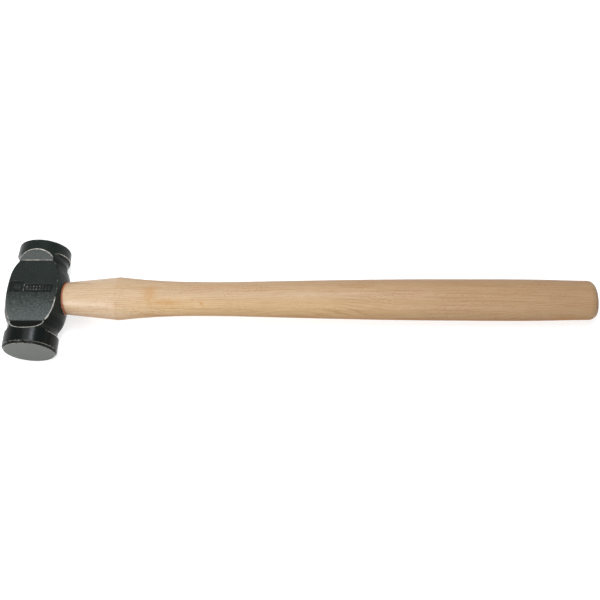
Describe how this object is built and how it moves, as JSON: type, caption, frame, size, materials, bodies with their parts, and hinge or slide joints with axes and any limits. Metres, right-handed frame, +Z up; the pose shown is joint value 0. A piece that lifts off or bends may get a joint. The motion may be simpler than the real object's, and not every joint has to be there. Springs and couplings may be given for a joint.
{
  "type": "double-faced hammer",
  "caption": "Forging hammer with two round faces, one flat and one crowned, on a swelled wooden handle held in the eye by wedges.",
  "frame": {"origin": "centre of the hammer's box at its base, on the surface that it lies on", "axes": "+X along the handle towards the butt, +Y along the head towards the crowned face, +Z up, out of the front cheek. The hammer lies on its back cheek side: both poll rims and the butt touch z = 0, so the handle slopes down by about 1.1 degrees"},
  "size_m": [0.4694, 0.0938, 0.042],
  "materials": {
    "forged_steel": "forged black oxide skin, satin, with bright ground faces",
    "beech": "clear satin lacquer",
    "wedge_wood": "bare end grain, sanded level",
    "wedge_steel": "plain steel, hammered and ground level"
  },
  "bodies": {
    "root": {"head": "forged_steel", "handle": "beech", "wood_wedge": "wedge_wood", "steel_wedges": "wedge_steel"}
  },
  "joints": []
}
